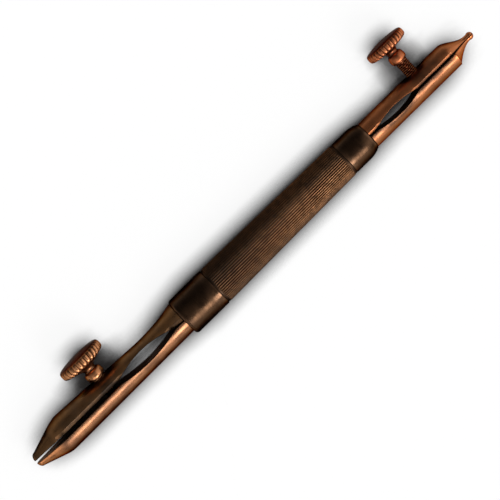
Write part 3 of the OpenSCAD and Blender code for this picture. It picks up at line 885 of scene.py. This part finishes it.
# The looks also set how much painted shade each jaw gets
jaws = [
    (opener, "opener_screw_jaw", 1, opener_screw_outline(), opener_inner(1.3 * MM),
     {"facet": (0.75 * MM, 0.42 * MM), "facet_end": 34.4 * MM, "edge_shade": 0.85, "crown": 0.74}),
    (opener, "opener_plain_jaw", -1, opener_plain_outline(), opener_inner(0.9 * MM),
     {"facet": EDGE_ONLY, "facet_end": 40 * MM, "edge_shade": 0.55, "crown": 0.8}),
    (closer, "closer_screw_jaw", 1, closer_screw_outline(), closer_inner(),
     {"facet": (0.5 * MM, 0.28 * MM), "facet_end": 23 * MM, "edge_shade": 0.25, "crown": 0.78}),
    (closer, "closer_plain_jaw", -1, closer_plain_outline(), closer_inner(),
     {"facet": EDGE_ONLY, "facet_end": 26 * MM, "edge_shade": 0.85, "crown": 0.1}),
]
for end, node, side, outline, inner, looks in jaws:
    jaw = make_jaw(node, JawShape(end, side, outline, inner, **looks))
    dress(jaw, (screw_jaw_metals if side > 0 else plain_jaw_metals)[end.name])
    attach(jaw, f"{end.name}_{'upper' if side > 0 else 'lower'}_jaw")

for end in (opener, closer):
    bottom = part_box(end.name + "_screw_stem")[0].y
    dress(make_head(end), screw_metals[end.name])
    dress(make_stem(end, bottom), screw_metals[end.name])
    for node in (end.name + "_jaw_holder", end.name + "_jaw_pins"):
        dress(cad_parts[node], holder_metal)


# Floor, touching the thumb heads' rims and the opener's collar, on which the tool lies

FLOOR_COLOUR = (0.93, 0.93, 0.93)
FLOOR_ROUGHNESS, FLOOR_GLOSS = 0.9, 0.1
FLOOR_HALF = 4.0
FLOOR_GAP = 0.02 * MM
SHADE_REACH = 6 * MM
SHADE_LOW, SHADE_HIGH = 0.5, 0.88
WHITE_SHARE = 0.9


def resting_plane():
    opener_rim = Vector((opener.x(opener.screw_u), opener.seat_y + RIM_H * opener.head_r, -opener.head_r))
    closer_rim = Vector((closer.x(closer.screw_u), closer.seat_y + RIM_H * closer.head_r, -closer.head_r))
    collar = Vector((opener.x(-opener.collar_l), 0, -opener.collar_r))
    normal = (closer_rim - opener_rim).cross(collar - opener_rim)
    if normal.z < 0:
        normal.negate()
    return collar, normal.normalized()


def floor_material():
    """Matt and pale. What the camera and the metal see is lifted to white, less so close under the tool."""
    material = bpy.data.materials.new("pale_floor")
    material.use_nodes = True
    tree = Nodes(material.node_tree)
    shader = tree.nodes["Principled BSDF"]
    tree.feed(FLOOR_COLOUR, shader.inputs["Base Color"])
    tree.feed(FLOOR_ROUGHNESS, shader.inputs["Roughness"])
    tree.feed(FLOOR_GLOSS, shader.inputs["Specular IOR Level"])
    openness = tree.nodes.new("ShaderNodeAmbientOcclusion")
    tree.feed(SHADE_REACH, openness.inputs["Distance"])
    white = tree.nodes.new("ShaderNodeEmission")
    lift = tree.band(openness.outputs["AO"], SHADE_LOW, SHADE_HIGH, kind="LINEAR")
    tree.feed(lift, white.inputs["Strength"])
    rays = tree.nodes.new("ShaderNodeLightPath")
    seen = rays.outputs["Is Camera Ray"]
    for kind in ("Is Glossy Ray", "Is Transmission Ray"):
        seen = tree.maths("MAXIMUM", seen, rays.outputs[kind])
    blend = tree.nodes.new("ShaderNodeMixShader")
    tree.feed(tree.maths("MULTIPLY", seen, WHITE_SHARE), blend.inputs["Fac"])
    tree.feed(shader.outputs["BSDF"], blend.inputs[1])
    tree.feed(white.outputs["Emission"], blend.inputs[2])
    tree.feed(blend.outputs["Shader"], tree.nodes["Material Output"].inputs["Surface"])
    return material


def make_floor():
    half = FLOOR_HALF
    corners = [(-half, -half, 0), (half, -half, 0), (half, half, 0), (-half, half, 0)]
    obj = link("floor", corners, [(0, 1, 2, 3)])
    point, normal = resting_plane()
    tilt = normal.to_track_quat("Z", "Y").to_matrix().to_4x4()
    obj.matrix_world = Matrix.Translation(point - normal * FLOOR_GAP) @ tilt
    obj.data.materials.append(floor_material())


make_floor()


# Camera: above the tool and a little to the thumbscrews' side, with the tool on the frame's diagonal

IMAGE_SIZE = 500
PIXEL = 0.2 * MM
LENS = 150
SENSOR = 36
CLIP_START = 0.01
LEAN_TO_HEADS = math.radians(8.5)
TURN_IN_FRAME = math.radians(44.54)
ORIGIN_PIXEL = (275, 227)


def make_camera():
    data = bpy.data.cameras.new("camera")
    data.lens = LENS
    data.sensor_width = SENSOR
    data.clip_start = CLIP_START
    camera = bpy.data.objects.new("camera", data)
    bpy.context.scene.collection.objects.link(camera)
    bpy.context.scene.camera = camera
    back = Vector((0, math.sin(LEAN_TO_HEADS), 1)).normalized()
    along = (Vector((1, 0, 0)) - back * back.x).normalized()
    across = back.cross(along)
    right = along * math.cos(TURN_IN_FRAME) - across * math.sin(TURN_IN_FRAME)
    up = along * math.sin(TURN_IN_FRAME) + across * math.cos(TURN_IN_FRAME)
    dx, dy = ORIGIN_PIXEL[0] - IMAGE_SIZE / 2, IMAGE_SIZE / 2 - ORIGIN_PIXEL[1]
    target = -right * dx * PIXEL - up * dy * PIXEL
    distance = LENS / SENSOR * IMAGE_SIZE * PIXEL
    turn = Matrix((right, up, back)).transposed()
    camera.matrix_world = Matrix.Translation(target + back * distance) @ turn.to_4x4()


make_camera()


# Light: wide keys from the plain jaws' side, a low one behind them, a soft fill over each end and a
# sky that is brightest at the horizon and darker on the thumbscrews' side

# name, lean, swing, strength and width
SUNS = [
    ("key", 44, 4, 1.6, 24),
    ("key_left", 37, -34, 0.6, 40),
    ("key_right", 40, 36, 0.58, 44),
    ("low", 66, 0, 0.45, 40),
    ("opener_fill", 0, -60, 0.3, 90),
    ("closer_fill", 8, 62, 0.95, 70),
]
SKY_BY_HEIGHT = (0.05, 0.4, 0.9, 0.34)
SKY_BY_SIDE = (-0.2, 0.8, 1.0, 0.42)


def make_sun(name, lean, swing, strength, width):
    """lean is the angle from straight up towards -Y and swing towards +X, in degrees like width."""
    data = bpy.data.lights.new(name, "SUN")
    data.energy = strength
    data.angle = math.radians(width)
    lamp = bpy.data.objects.new(name, data)
    bpy.context.scene.collection.objects.link(lamp)
    direction = Vector((math.tan(math.radians(swing)), -math.tan(math.radians(lean)), 1)).normalized()
    lamp.rotation_euler = direction.to_track_quat("Z", "Y").to_euler()


def make_world():
    world = bpy.data.worlds.new("studio")
    bpy.context.scene.world = world
    world.use_nodes = True
    tree = Nodes(world.node_tree)
    background = tree.nodes["Background"]
    background.inputs["Strength"].default_value = 1
    direction = tree.nodes.new("ShaderNodeTexCoord").outputs["Generated"]
    split = tree.nodes.new("ShaderNodeSeparateXYZ")
    tree.feed(direction, split.inputs["Vector"])
    height = tree.band(split.outputs["Z"], *SKY_BY_HEIGHT, kind="LINEAR")
    side = tree.band(split.outputs["Y"], *SKY_BY_SIDE, kind="LINEAR")
    tree.feed(tree.maths("MULTIPLY", height, side), background.inputs["Color"])


for sun in SUNS:
    make_sun(*sun)
make_world()
bpy.context.scene.view_settings.view_transform = "Standard"
